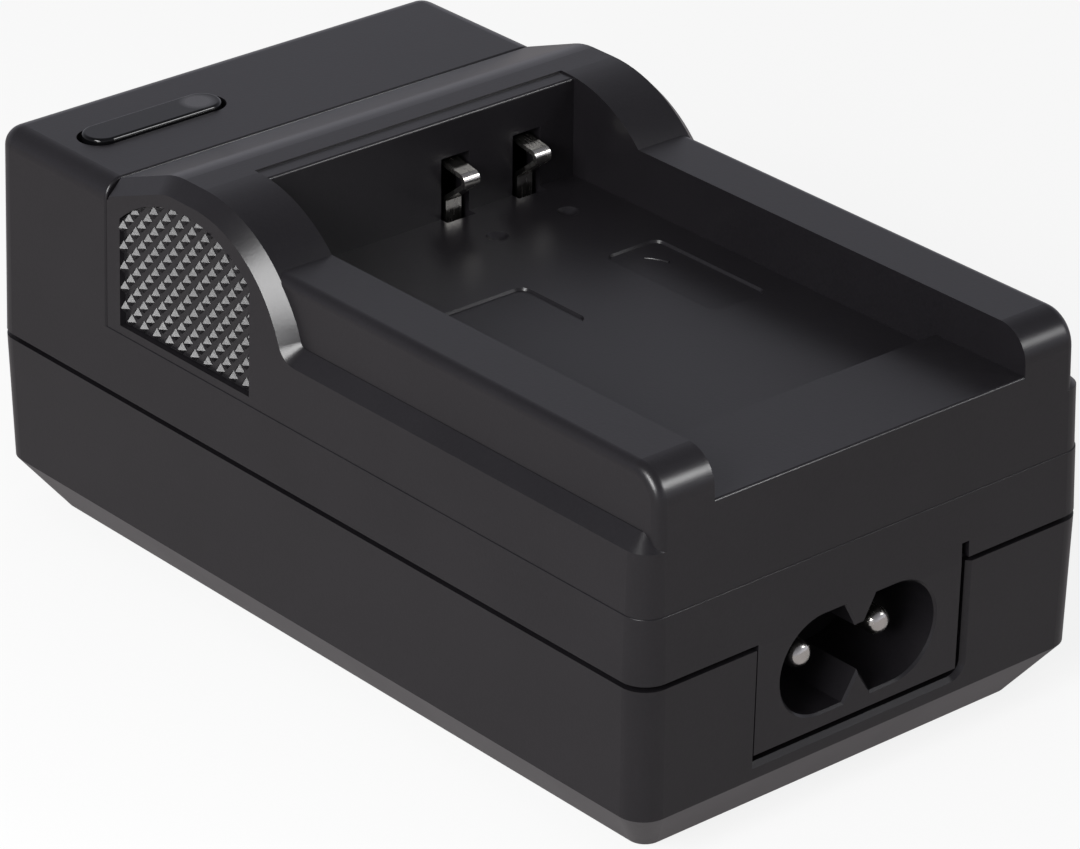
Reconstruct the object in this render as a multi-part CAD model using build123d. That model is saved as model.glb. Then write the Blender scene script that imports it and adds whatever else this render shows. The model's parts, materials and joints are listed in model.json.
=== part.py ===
"""Camera battery charger with a two-pin mains inlet, modelled piece by piece.

The charger stands on z = 0 with its origin under the middle of the base. Its length runs
along Y, with the inlet at the front (-Y) and the indicator head at the rear (+Y). Millimetres.
"""
import os
from math import cos, radians, sin, sqrt, tan

from build123d import *

# Body
WIDTH = 48.4
LENGTH = 85.0
SPLIT_Z = 16.7
CRADLE_Z = 22.7
WALL = 1.8
CORNER_R = 2.4
LOWER_DRAFT = 1.2
UPPER_DRAFT = 1.5
BEVEL_HEIGHT = 4.7
BEVEL_INSET = 3.5
BASE_CORNER_R = 1.5
SPLIT_GAP = 0.48
RIM_HEIGHT = 1.3
RIM_WALL = 0.8
FIT = 0.1

# Head at the rear, with the indicator lens
HEAD_LENGTH = 16.2
HEAD_TOP = 36.0
HEAD_EDGE_R = 1.8
HEAD_GAP = 0.06
GROOVE = 0.2
GROOVE_DEPTH = 1.6
GAP_EDGE_R = 0.25
LEDGE_EDGE_R = 0.06
DECK = 1.6
LENS_LENGTH = 14.1
LENS_WIDTH = 3.5
LENS_RISE = 0.4
LENS_EDGE_R = 0.28
LENS_FLANGE = 0.9
LENS_MOAT = 0.2
LENS_END_MOAT = 0.5
LENS_FROM_LEFT = 11.3
LENS_FROM_REAR = 8.3
LED_FROM_LENS = 4.8
LED_R = 1.5
LED_HEIGHT = 2.4

# Battery cradle
SEAM = 0.08
CREST_Z = 38.95
CREST_FROM_GAP = 7.9
CREST_R = 7.0
HUMP_DEPTH = 13.04
LIP_DEPTH = 1.7
LIP_DROP = 0.16
EAR_R = 13.6
EAR_FROM_BAY = 1.2
EAR_FOOT_R = 0.7
EDGE_BEVEL = 1.3
SHELF_Z = 29.5
SHELF_WIDTH = 1.35
WALL_TOP = 34.9
WALL_EDGE_R = 0.9
ROLL_R = 3.0
BAY_WIDTH = 33.4
BAY_FLOOR = 29.7
SILL_Z = 31.0
SILL_DEPTH = 10.7
SILL_EDGE_R = 0.25
LEFT_PANEL = (12.3, 8.4)
RIGHT_PANEL = (6.0, 13.9)
PANEL_FROM_WALL = 3.1
PANEL_FROM_REAR = 14.5
PANEL_CORNER_R = 1.0
PANEL_DEPTH = 0.22
PANEL_SLOPE = 35.0
DIMPLE_R = 1.0
DIMPLE_DEPTH = 0.42
DIMPLE_FROM_REAR = 5.6
CLIP_WIDTH = 5.0
CLIP_REACH = 0.8
CLIP_FROM_FRONT = 25.5

# Grip pads set into the ears
PAD_LENGTH = 17.7
PAD_FROM_GAP = 1.79
PAD_FOOT = 0.75
PAD_BELOW_CREST = 2.3
PAD_TOP_R = 13.2
PAD_PLATE = 0.35
PAD_FIT = 0.05
POCKET_DEPTH = 1.2
PYRAMID_COLUMN = 0.875
PYRAMID_ROW = 1.86
PYRAMID_HALF = 0.58
PYRAMID_HEIGHT = 0.46

# Mains inlet
INLET_X = -1.05
INLET_Z = 12.7
PIN_PITCH = 8.6
PIN_R = 1.2
PIN_SHANK_R = 1.7
PIN_TAIL_R = 1.0
PIN_RECESS = 1.8
PIN_COLLAR_R = 2.2
PIN_COLLAR = 0.8
PIN_LEG = 1.2
SOCKET_DEPTH = 9.8
SOCKET_BACK = 1.6
LOBE_R = 4.45
LOBE_PITCH = 7.9
KEY_TOP_WIDTH = 3.5
KEY_TOP_TIP = 0.9
KEY_TOP_DEPTH = 2.25
KEY_BASE_WIDTH = 3.2
KEY_BASE_DEPTH = 2.5
MOUTH_BEVEL = 0.2
TONGUE_WIDTH = 22.1
TONGUE_DROP = 9.8
NOTCH_GAP = 0.8
NOTCH_CORNER_R = 1.3
NOTCH_SIDE_FIT = 0.12
NOTCH_BEVEL = 0.4
RELIEF_RISE = 1.7

# Spring contacts
CONTACT_PITCH = 7.95
CONTACT_FROM_MIDDLE = 7.4
CONTACT_WIDTH = 1.7
CONTACT_STRIP = 0.4
CONTACT_REACH = 2.9
CONTACT_NOSE_Z = 33.9
CONTACT_BEND_R = 0.55
SLOT_WIDTH = 3.1
SLOT_TOP = 35.3
LEAD_R = 0.6

# Board, its screws and what it carries
BOARD = 1.6
BOARD_SIDE_GAP = 3.0
BOARD_DROP = 2.2
BOARD_TAB_GAP = 1.5
STANDOFF_R = 2.4
STANDOFF_INSET = 3.6
BOARD_SCREW_R = 1.0
BOARD_SCREW_LENGTH = 4.4
SCREW_R = 1.1
SCREW_LENGTH = 10.4
SCREW_HEAD_R = 2.1
SCREW_HEAD = 1.6
SCREW_FROM_SIDE = 7.7
SCREW_FROM_END = 8.9
POST_R = 3.0
RIB = 1.4
COUNTERBORE_R = 2.5
COUNTERBORE = 9.4

BOBBIN_LENGTH = 11.0
BOBBIN_HEIGHT = 12.4
BOBBIN_WALL = 0.7
CORE_LEG = 5.0
CORE_WINDOW = 4.2
CORE_X = 2.0
CORE_SHIFT = 3.0
CORE_SWITCHER_GAP = 2.8
CORE_COUPLER_GAP = 0.3
CHOKE_R = 3.5
CHOKE_HEIGHT = 8.0
DISC_R = 3.6
MAINS_CAN = (4.8, 13.2)
OUTPUT_CAN = (4.0, 11.0)
BRIDGE = (6.2, 8.0, 3.0)
SWITCHER = (6.2, 9.2, 3.2)
COUPLER = (6.2, 4.6, 3.2)
CONTROLLER = (3.9, 8.6, 1.5)
LEG_LIFT = 0.9
FUSE = (10.0, 1.8, 2.1)
DIODE = (9.0, 2.2, 2.5)
RESISTOR = (1.6, 0.9, 0.6)
RESISTORS = 4
RESISTOR_PITCH = 2.2
RESISTOR_FROM_REAR = 14.0
MAINS_CAN_INSET = (8.7, 10.5)
OUTPUT_CAN_INSET = (8.5, 11.0)
FUSE_INSET = (11.1, 6.5)
CHOKE_INSET = (7.1, 15.0)
DISC_INSET = 7.1
DISC_FROM_CORE = 10.5
BRIDGE_PLACE = (1.0, 9.0)
CONTROLLER_PLACE = (9.0, 9.0)
DIODE_PLACE = (2.5, 5.0)
SWITCHER_SHIFT = 1.0
COUPLER_SHIFT = 5.0

FRONT = -LENGTH / 2
REAR = LENGTH / 2
HEAD_FRONT = REAR - HEAD_LENGTH
CRADLE_REAR = HEAD_FRONT - HEAD_GAP
BAY_REAR = CRADLE_REAR - HUMP_DEPTH
DECK_Z = CRADLE_Z - DECK
BOARD_TOP = DECK_Z - BOARD_DROP
BOARD_Z = BOARD_TOP - BOARD
TONGUE_Z = SPLIT_Z - TONGUE_DROP
TONGUE_LEFT = INLET_X - TONGUE_WIDTH / 2
TONGUE_RIGHT = INLET_X + TONGUE_WIDTH / 2
SOCKET_REAR = FRONT + SOCKET_DEPTH + SOCKET_BACK
PIN_X = (INLET_X - PIN_PITCH / 2, INLET_X + PIN_PITCH / 2)
CONTACT_X = (CONTACT_FROM_MIDDLE - CONTACT_PITCH / 2, CONTACT_FROM_MIDDLE + CONTACT_PITCH / 2)
LENS_X = -WIDTH / 2 + LENS_FROM_LEFT
LENS_Y = REAR - LENS_FROM_REAR
LED_X = LENS_X + LED_FROM_LENS
SCREW_X = WIDTH / 2 - SCREW_FROM_SIDE
SCREWS = [(x, y) for x in (-SCREW_X, SCREW_X) for y in (FRONT + SCREW_FROM_END, REAR - SCREW_FROM_END)]
BOARD_HALF = WIDTH / 2 - BOARD_SIDE_GAP - FIT
BOARD_FRONT = SOCKET_REAR + FIT + BOARD
BOARD_REAR = REAR - SCREW_FROM_END - POST_R - 2 * FIT
BOARD_TAB_REAR = REAR - WALL - BOARD_SIDE_GAP
STANDOFFS = [(x, y) for x in (STANDOFF_INSET - BOARD_HALF, BOARD_HALF - STANDOFF_INSET)
             for y in (BOARD_FRONT + STANDOFF_INSET, BOARD_REAR - STANDOFF_INSET)]
TRANSFORMER = (CORE_X, (BOARD_FRONT + BOARD_REAR) / 2 - CORE_SHIFT)
SWITCHER_X = CORE_X - CORE_LEG - CORE_WINDOW - CORE_SWITCHER_GAP - LEG_LIFT - SWITCHER[0] / 2
COUPLER_X = CORE_X + CORE_LEG + CORE_WINDOW + CORE_COUPLER_GAP + LEG_LIFT + COUPLER[0] / 2
CHOKE = (BOARD_HALF - CHOKE_INSET[0], BOARD_FRONT + CHOKE_INSET[1])
DISC = (DISC_INSET - BOARD_HALF, TRANSFORMER[1] + DISC_FROM_CORE)
BOUND = 2 * LENGTH


def span(x, y, z):
    """A box between two values along each axis."""
    size = [high - low for low, high in (x, y, z)]
    middle = [(low + high) / 2 for low, high in (x, y, z)]
    return Pos(*middle) * Box(*size)


def rod(x, y, z, radius):
    """An upright cylinder between two heights."""
    return Pos(x, y, z[0]) * Cylinder(radius, z[1] - z[0], align=(Align.CENTER, Align.CENTER, Align.MIN))


def outline(inset, radius, z):
    """The body's rounded outline, drawn in by an inset, at a height."""
    return Pos(0, 0, z) * RectangleRounded(WIDTH - 2 * inset, LENGTH - 2 * inset, radius)


def upper_form(inset, top):
    """The drafted block above the split line."""
    base = outline(inset, max(CORNER_R - inset, WALL / 4), SPLIT_Z)
    return extrude(base, amount=top - SPLIT_Z, taper=UPPER_DRAFT)


def lower_form(inset, bottom):
    """The drafted block under the split line, with its bevelled foot cut off at a height."""
    draft = tan(radians(LOWER_DRAFT)) * (SPLIT_Z - BEVEL_HEIGHT)
    foot_inset = draft + BEVEL_INSET * (1 - bottom / BEVEL_HEIGHT)
    radius = max(CORNER_R - inset, WALL / 4)
    foot_radius = max(BASE_CORNER_R - inset, WALL / 4)
    rim = outline(inset, radius, SPLIT_Z)
    knee = outline(draft + inset, radius, BEVEL_HEIGHT)
    foot = outline(foot_inset + inset, foot_radius, bottom)
    return loft([knee, rim], ruled=True) + loft([foot, knee], ruled=True)


def rim_ring(outer_inset, inner_inset, z):
    """A ring that follows the outline between two insets and two heights."""
    ring = outline(outer_inset, CORNER_R - outer_inset, z[0]) - outline(inner_inset, WALL / 4, z[0])
    return extrude(ring, amount=z[1] - z[0])


def inlet_outline():
    """The figure-of-eight mouth of the two-pin inlet, with its two keys."""
    mouth = SlotCenterToCenter(LOBE_PITCH, 2 * LOBE_R)
    top = LOBE_R + FIT
    top_key = Polygon((-KEY_TOP_WIDTH / 2, top), (KEY_TOP_WIDTH / 2, top),
                      (KEY_TOP_TIP / 2, LOBE_R - KEY_TOP_DEPTH), (-KEY_TOP_TIP / 2, LOBE_R - KEY_TOP_DEPTH),
                      align=None)
    base_key = Polygon((-KEY_BASE_WIDTH / 2, -top), (KEY_BASE_WIDTH / 2, -top),
                       (0, KEY_BASE_DEPTH - LOBE_R), align=None)
    return mouth - top_key - base_key


def front_plane(z, depth):
    """The drafted front face under the split line as a sketch plane at a height, set in by a depth."""
    lean = radians(LOWER_DRAFT)
    surface = FRONT + tan(lean) * (SPLIT_Z - z)
    return Plane((0, surface + depth, z), x_dir=(1, 0, 0), z_dir=(0, -cos(lean), -sin(lean)))


def notch_outline(grow):
    """The notch round the inlet tongue, seen from the front about the inlet's middle."""
    left = TONGUE_LEFT - NOTCH_SIDE_FIT
    right = TONGUE_RIGHT + NOTCH_GAP + grow
    floor = TONGUE_Z - NOTCH_GAP - grow - INLET_Z
    sheet = Pos((left + right) / 2, (floor + WIDTH) / 2) * Rectangle(right - left, WIDTH - floor)
    corner = sheet.vertices().sort_by_distance((right, floor, 0))[0]
    return fillet(corner, NOTCH_CORNER_R + grow)


def lower_housing():
    """Bottom shell: bevelled foot, rim, screw posts and the notch for the inlet tongue."""
    shell = lower_form(0, 0) - lower_form(WALL, WALL)
    shell -= span((-BOUND, BOUND), (-BOUND, BOUND), (SPLIT_Z - SPLIT_GAP / 2, BOUND))
    rim_top = SPLIT_Z + RIM_HEIGHT
    shell += rim_ring(WALL - RIM_WALL, WALL, (SPLIT_Z - SPLIT_GAP / 2, rim_top))
    for x, y in SCREWS:
        shell += rod(x, y, (WALL / 2, SPLIT_Z - SPLIT_GAP / 2), POST_R)
    for x, y in SCREWS:
        shell -= rod(x, y, (-1, BOUND), SCREW_R + FIT)
        shell -= rod(x, y, (-1, COUNTERBORE), COUNTERBORE_R)
    notch = Pos(0, FRONT - 1, INLET_Z) * (Plane.XZ * notch_outline(0))
    shell -= extrude(notch, amount=1 + 2 * WALL, dir=(0, 1, 0))
    shell -= loft([front_plane(INLET_Z, -NOTCH_BEVEL) * notch_outline(2 * NOTCH_BEVEL).face(),
                   front_plane(INLET_Z, NOTCH_BEVEL) * notch_outline(0).face()], ruled=True)
    return shell


def tongue_block():
    """The block behind the inlet, which drops from the upper shell into the lower one."""
    return span((TONGUE_LEFT, TONGUE_RIGHT), (FRONT - 1, SOCKET_REAR), (TONGUE_Z, DECK_Z + DECK / 2))


def upper_housing():
    """Upper shell: skirt, deck under the cradle, head block and the inlet tongue."""
    form = upper_form(0, HEAD_TOP)
    form -= span((-BOUND, BOUND), (-BOUND, HEAD_FRONT), (CRADLE_Z, BOUND))
    top_edges = form.faces().sort_by(Axis.Z)[-1].edges()
    form = fillet([edge for edge in top_edges if edge.center().Y > HEAD_FRONT + FIT], HEAD_EDGE_R)
    head_front = form.faces().sort_by_distance((0, HEAD_FRONT, (CRADLE_Z + HEAD_TOP) / 2))[0]
    form = fillet([edge for edge in head_front.edges() if edge.center().Z > CRADLE_Z + FIT], GAP_EDGE_R)
    ledge = form.faces().sort_by_distance((0, 0, CRADLE_Z))[0]
    form = fillet([edge for edge in ledge.edges() if edge.center().Y < HEAD_FRONT - FIT], LEDGE_EDGE_R)
    inner = upper_form(WALL, HEAD_TOP - WALL)
    inner &= (span((-BOUND, BOUND), (-BOUND, BOUND), (0, DECK_Z))
              + span((-BOUND, BOUND), (HEAD_FRONT + WALL, BOUND), (0, BOUND)))
    shell = form - inner
    shell -= span((-BOUND, BOUND), (-BOUND, BOUND), (0, SPLIT_Z + SPLIT_GAP / 2))
    shell -= rim_ring(WALL - RIM_WALL - FIT, WALL + FIT, (SPLIT_Z, SPLIT_Z + RIM_HEIGHT))
    shell += tongue_block() & (upper_form(0, HEAD_TOP) + lower_form(0, 0))
    mouth = Pos(INLET_X, FRONT - 1, INLET_Z) * (Plane.XZ * inlet_outline())
    shell -= extrude(mouth, amount=SOCKET_DEPTH + 1, dir=(0, 1, 0))
    wide = offset(inlet_outline(), 2 * MOUTH_BEVEL, kind=Kind.INTERSECTION)
    flare = loft([front_plane(INLET_Z, -MOUTH_BEVEL) * wide.face(),
                  front_plane(INLET_Z, MOUTH_BEVEL) * inlet_outline().face()], ruled=True)
    shell -= Pos(INLET_X, 0, 0) * flare
    shank = PIN_SHANK_R + FIT / 2
    for x in PIN_X:
        shell -= Pos(x, SOCKET_REAR, INLET_Z) * Rot(90, 0, 0) * Cylinder(shank, 4 * SOCKET_BACK)
    relief = (TONGUE_RIGHT, TONGUE_RIGHT + NOTCH_GAP)
    shell -= span(relief, (FRONT - 1, FRONT + WALL), (0, SPLIT_Z + RELIEF_RISE))
    for x, y in SCREWS:
        wall_x = (WIDTH / 2 - WALL / 2) * (1 if x > 0 else -1)
        rib_low = SPLIT_Z + RIM_HEIGHT + FIT
        shell += rod(x, y, (SPLIT_Z + SPLIT_GAP / 2, DECK_Z + DECK / 2), POST_R)
        shell += span(sorted((x, wall_x)), (y - RIB / 2, y + RIB / 2), (rib_low, DECK_Z + DECK / 2))
        shell -= rod(x, y, (0, DECK_Z), SCREW_R + FIT / 2)
    for x, y in STANDOFFS:
        shell += rod(x, y, (BOARD_TOP, DECK_Z + DECK / 2), STANDOFF_R)
        shell -= rod(x, y, (0, BOARD_Z + BOARD_SCREW_LENGTH + FIT), BOARD_SCREW_R + FIT / 2)
    window = (CONTACT_X[0] - SLOT_WIDTH, CONTACT_X[1] + SLOT_WIDTH)
    shell -= span(window, (BAY_REAR - SLOT_WIDTH, CRADLE_REAR - WALL), (DECK_Z - 1, BOUND))
    for x, y in clip_places():
        outward = 1 if x > 0 else -1
        sides = sorted((x - outward * (WALL / 2 + FIT), x + outward * (WALL / 2 + CLIP_REACH + FIT)))
        shell -= span(sides, (y - CLIP_WIDTH / 2 - FIT, y + CLIP_WIDTH / 2 + FIT), (DECK_Z - 1, BOUND))
    opening = lens_outline(LENS_MOAT, LENS_END_MOAT)
    shell -= Pos(LENS_X, LENS_Y, HEAD_TOP - WALL - 1) * extrude(opening, amount=BOUND)
    return shell


def lens_outline(side, end):
    """The pill outline of the indicator lens, grown along its sides and at its ends."""
    return SlotOverall(LENS_LENGTH + 2 * end, LENS_WIDTH + 2 * side)


def indicator_lens():
    """Pill-shaped indicator lens, raised above the head and held by a flange under its top."""
    seat = HEAD_TOP - WALL
    pill = Pos(LENS_X, LENS_Y, seat) * extrude(lens_outline(0, 0), amount=WALL + LENS_RISE)
    pill = fillet(pill.faces().sort_by(Axis.Z)[-1].edges(), LENS_EDGE_R)
    rim = lens_outline(LENS_FLANGE, LENS_FLANGE)
    flange = Pos(LENS_X, LENS_Y, seat - LENS_FLANGE) * extrude(rim, amount=LENS_FLANGE)
    guide = rod(LED_X, LENS_Y, (BOARD_TOP + LED_HEIGHT, seat), LED_R)
    return pill + flange + guide


def clip_places():
    """Where the cradle's clips pass through the deck."""
    x = WIDTH / 2 - 3 * WALL
    return [(side * x, y) for side in (-1, 1) for y in (FRONT + CLIP_FROM_FRONT, BAY_REAR - CLIP_WIDTH)]


def ear_outline():
    """The side profile of the cradle: ramp, crest, ear arc and the long shelf, in Y and Z."""
    ear_y = BAY_REAR + EAR_FROM_BAY
    ear_z = CREST_Z - EAR_R
    foot_y = ear_y - sqrt(EAR_R ** 2 - (SHELF_Z - ear_z) ** 2)
    ear_middle = (ear_y - EAR_R * sqrt(0.5), ear_z + EAR_R * sqrt(0.5))
    crest_rear = (CRADLE_REAR - CREST_FROM_GAP, CREST_Z)
    ramp = Polyline((FRONT - 1, SHELF_Z), (FRONT - 1, CRADLE_Z), (CRADLE_REAR, CRADLE_Z),
                    (CRADLE_REAR, HEAD_TOP), crest_rear, (ear_y, CREST_Z))
    arc = ThreePointArc((ear_y, CREST_Z), ear_middle, (foot_y, SHELF_Z))
    shelf = Line((foot_y, SHELF_Z), (FRONT - 1, SHELF_Z))
    face = make_face(ramp.edges() + arc.edges() + shelf.edges())
    foot = face.vertices().sort_by_distance((foot_y, SHELF_Z))[0]
    face = fillet(foot, EAR_FOOT_R)
    crest = face.vertices().sort_by_distance(crest_rear)[0]
    return Plane.YZ * fillet(crest, CREST_R)


def bay_walls():
    """The block of the bay's side walls, set in from the shelf, with its rolled front end."""
    half = WIDTH / 2 - SEAM - tan(radians(UPPER_DRAFT)) * (SHELF_Z - SPLIT_Z) - SHELF_WIDTH
    front = FRONT + SEAM
    lean = tan(radians(UPPER_DRAFT))
    low = SHELF_Z - EDGE_BEVEL
    profile = Plane.YZ * Polygon(
        (front + lean * (low - SPLIT_Z), low), (front + lean * (WALL_TOP - SPLIT_Z), WALL_TOP),
        (BAY_REAR, WALL_TOP), (BAY_REAR, low), align=None)
    block = extrude(profile, amount=half, both=True)
    roll = block.edges().filter_by(Axis.X).group_by(Axis.Y)[1].sort_by(Axis.Z)[-1]
    block = fillet(roll, ROLL_R)
    rear = block.faces().sort_by(Axis.Y)[-1]
    base = block.faces().sort_by(Axis.Z)[0]
    sides = [face for side in (0, -1) for face in [block.faces().sort_by(Axis.X)[side]]]
    kept = [edge for face in (rear, base) for edge in face.edges()]
    rounded = [edge for face in sides for edge in face.edges()
               if not any(edge.is_same(other) for other in kept)]
    return fillet(rounded, WALL_EDGE_R)


def contact_slots():
    """The cuts in the bay's rear wall and floor that the spring contacts come through."""
    cuts = Part()
    for x in CONTACT_X:
        sides = (x - SLOT_WIDTH / 2, x + SLOT_WIDTH / 2)
        cuts += span(sides, (BAY_REAR - 1, BAY_REAR + 2 * WALL), (BAY_FLOOR, SLOT_TOP))
        cuts += span(sides, (BAY_REAR - WALL / 2, BAY_REAR + 2 * WALL), (CRADLE_Z, SLOT_TOP))
    return cuts


def floor_marks():
    """The cuts for the bay floor's two shallow panels and for a dimple before each contact."""
    cuts = Part()
    for side, (width, length) in ((-1, LEFT_PANEL), (1, RIGHT_PANEL)):
        x = side * (BAY_WIDTH / 2 - PANEL_FROM_WALL - width / 2)
        y = BAY_REAR - PANEL_FROM_REAR - length / 2
        slope = PANEL_DEPTH * tan(radians(PANEL_SLOPE))
        panel = RectangleRounded(width - 2 * slope, length - 2 * slope, PANEL_CORNER_R - slope)
        tray = extrude(panel, amount=2 * PANEL_DEPTH, taper=-PANEL_SLOPE)
        cuts += Pos(x, y, BAY_FLOOR - PANEL_DEPTH) * tray
    dish = (DIMPLE_R ** 2 + DIMPLE_DEPTH ** 2) / (2 * DIMPLE_DEPTH)
    for x in CONTACT_X:
        cuts += Pos(x, BAY_REAR - DIMPLE_FROM_REAR, BAY_FLOOR - DIMPLE_DEPTH + dish) * Sphere(dish)
    return cuts


def pad_outline(fit):
    """The arched outline of a grip pad in Y and Z, drawn in by its fit."""
    rear = CRADLE_REAR - PAD_FROM_GAP - fit
    front = CRADLE_REAR - PAD_FROM_GAP - PAD_LENGTH + fit
    middle = CRADLE_REAR - PAD_FROM_GAP - PAD_LENGTH / 2
    foot = CRADLE_Z + PAD_FOOT + fit
    top = CREST_Z - PAD_BELOW_CREST - fit
    arch = Pos(middle, top + fit - PAD_TOP_R) * Circle(PAD_TOP_R - fit)
    frame = Pos((front + rear) / 2, (foot + top) / 2) * Rectangle(rear - front, top - foot)
    return Plane.YZ * (frame & arch)


def pocket_floor():
    """How far from the middle the floor of each grip pocket lies."""
    return WIDTH / 2 - POCKET_DEPTH


def battery_cradle():
    """The cradle moulding: ears, shelf, bay walls, floor, sill and the contact slots."""
    form = extrude(ear_outline(), amount=BOUND, both=True) & upper_form(SEAM, CREST_Z + CRADLE_Z)
    tops = [face for face in form.faces() if face.normal_at().Z > 0.05]
    outer = [edge for face in tops for edge in face.edges()
             if abs(edge.center().X) > WIDTH / 2 - CORNER_R and abs(edge.tangent_at(0.5).X) < 0.3]
    form = chamfer(outer, EDGE_BEVEL)
    slope = (CREST_Z - HEAD_TOP) / CREST_FROM_GAP
    bevel_drop = EDGE_BEVEL * sqrt(1 + slope ** 2)
    groove_z = HEAD_TOP - max(GROOVE_DEPTH, bevel_drop + FIT)
    form -= span((-BOUND, BOUND), (CRADLE_REAR - GROOVE, BOUND), (groove_z, BOUND))
    groove = form.faces().sort_by_distance((0, CRADLE_REAR - GROOVE, HEAD_TOP - GROOVE_DEPTH / 2))[0]
    lines = [edge for edge in groove.edges() if edge.center().Z > HEAD_TOP - EDGE_BEVEL - FIT]
    form = fillet(lines, GAP_EDGE_R)
    form += bay_walls()
    bay = span((-BAY_WIDTH / 2, BAY_WIDTH / 2), (FRONT + SILL_DEPTH, BAY_REAR), (BAY_FLOOR, BOUND))
    bay += span((-BAY_WIDTH / 2, BAY_WIDTH / 2), (FRONT - 1, BAY_REAR), (SILL_Z, BOUND))
    form -= bay
    form -= span((-BAY_WIDTH / 2, BAY_WIDTH / 2), (BAY_REAR, BAY_REAR + LIP_DEPTH),
                 (CREST_Z - LIP_DROP, BOUND))
    fronts = ((FRONT, SILL_Z), (BAY_REAR, CREST_Z - LIP_DROP))
    lips = [form.edges().filter_by(Axis.X).sort_by_distance((0, y, z))[0] for y, z in fronts]
    form = fillet(lips, SILL_EDGE_R)
    inner = WIDTH / 2 - 2 * WALL
    under = span((-inner, inner), (FRONT + 2 * WALL, CRADLE_REAR - WALL), (0, BAY_FLOOR - WALL))
    under += span((-inner, inner), (BAY_REAR + WALL, CRADLE_REAR - WALL), (0, HEAD_TOP - WALL))
    form -= under
    form -= contact_slots()
    form -= floor_marks()
    for side in (-1, 1):
        form -= Pos(side * pocket_floor(), 0, 0) * extrude(pad_outline(0), amount=side * 2 * WALL)
    for x, y in clip_places():
        form += clip(x, y)
    return form


def clip(x, y):
    """One of the cradle's clips: a leg through the deck with a hook under it."""
    inward = -1 if x > 0 else 1
    leg = span((x - WALL / 2, x + WALL / 2), (y - CLIP_WIDTH / 2, y + CLIP_WIDTH / 2),
               (DECK_Z - WALL, BAY_FLOOR - WALL))
    hook = Plane.XZ * Polygon((0, DECK_Z - FIT), (inward * (WALL / 2 + CLIP_REACH), DECK_Z - FIT),
                              (0, DECK_Z - WALL), align=None)
    return leg + Pos(x, y, 0) * extrude(hook, amount=CLIP_WIDTH / 2, both=True)


def grip_pad():
    """The right grip pad: a thin plate in its pocket, with a staggered field of pyramids."""
    base = pocket_floor()
    field = pad_outline(PAD_FIT)
    plate = Pos(base, 0, 0) * extrude(field, amount=PAD_PLATE)
    box = field.bounding_box()
    face = field.faces()[0]
    prism = Pos(base, 0, 0) * extrude(field, amount=2 * POCKET_DEPTH)
    pyramids = []
    columns = int((box.max.Y - box.min.Y) / PYRAMID_COLUMN) + 1
    rows = int((box.max.Z - box.min.Z) / PYRAMID_ROW) + 1
    for column in range(columns):
        for row in range(rows):
            y = box.max.Y - column * PYRAMID_COLUMN
            z = box.min.Z + PYRAMID_HALF + (row + (column + 1) % 2 / 2) * PYRAMID_ROW
            corners = [(0, y + PYRAMID_HALF * dy, z + PYRAMID_HALF * dz)
                       for dy, dz in ((1, 0), (-1, 0), (0, 1), (0, -1))]
            held = [face.is_inside(corner) for corner in corners]
            if all(held):
                pyramids.append(pyramid(base + PAD_PLATE, y, z))
            elif any(held):
                pyramids.append(pyramid(base + PAD_PLATE, y, z) & prism)
    return plate.fuse(*pyramids)


def pyramid(x, y, z):
    """One diamond pyramid that points out of the pad's face."""
    edge = PYRAMID_HALF * sqrt(2)
    shape = loft([Rectangle(edge, edge).face(), Vertex(0, 0, PYRAMID_HEIGHT)], ruled=True)
    return Pos(x, y, z) * Rot(45, 0, 0) * Rot(0, 90, 0) * shape


def inlet_pin(x):
    """A domed inlet pin with a collar behind the socket and a leg up to the board."""
    socket_end = FRONT + SOCKET_DEPTH
    collar_end = SOCKET_REAR + PIN_COLLAR
    end = BOARD_FRONT + PIN_LEG
    lengths = ((FRONT + PIN_RECESS, socket_end, PIN_R), (socket_end, SOCKET_REAR, PIN_SHANK_R),
               (SOCKET_REAR, collar_end, PIN_COLLAR_R), (collar_end, end, PIN_TAIL_R))
    turned = [Pos(x, low, INLET_Z) * Rot(-90, 0, 0) * Cylinder(
        radius, high - low, align=(Align.CENTER, Align.CENTER, Align.MIN)) for low, high, radius in lengths]
    turned[0] = fillet(turned[0].edges().sort_by(Axis.Y)[0], PIN_R * 0.8)
    leg = span((x - PIN_LEG / 2, x + PIN_LEG / 2), (end - PIN_LEG, end), (INLET_Z, BOARD_Z))
    return turned[0] + turned[1] + turned[2] + turned[3] + leg


def contact_pivot():
    """The line about which a spring contact gives, in Y and Z."""
    return BAY_REAR + CONTACT_STRIP, BAY_FLOOR - WALL / 2


def contact_spring(x):
    """A bent spring strip: rear end in the slot, rounded nose in the bay, leg down to its root."""
    root_y, root_z = contact_pivot()
    nose = (BAY_REAR - CONTACT_REACH, CONTACT_NOSE_Z)
    path = FilletPolyline((root_y + CONTACT_STRIP, nose[1] + 1.5 * CONTACT_STRIP), nose,
                          (root_y, (nose[1] + root_z) / 2), (root_y, root_z - WALL), radius=CONTACT_BEND_R)
    strip = Plane.YZ * trace(path, line_width=CONTACT_STRIP)
    return Pos(x, 0, 0) * extrude(strip, amount=CONTACT_WIDTH / 2, both=True)


def contact_lead(x):
    """The insulated lead from a contact's root down to the board."""
    root_y, root_z = contact_pivot()
    return rod(x, root_y, (BOARD_TOP, root_z - WALL - 2 * FIT), LEAD_R)


def screw(x, y, z, radius, length, head_radius, head):
    """A pan-head screw that points up from the underside of its head's seat."""
    cap = rod(x, y, (z - head, z), head_radius)
    cap = chamfer(cap.edges().sort_by(Axis.Z)[0], head / 3)
    cross = Box(1.4 * head_radius, radius / 2, head) + Box(radius / 2, 1.4 * head_radius, head)
    cap -= Pos(x, y, z - head) * cross
    return cap + rod(x, y, (z, z + length), radius)


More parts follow.
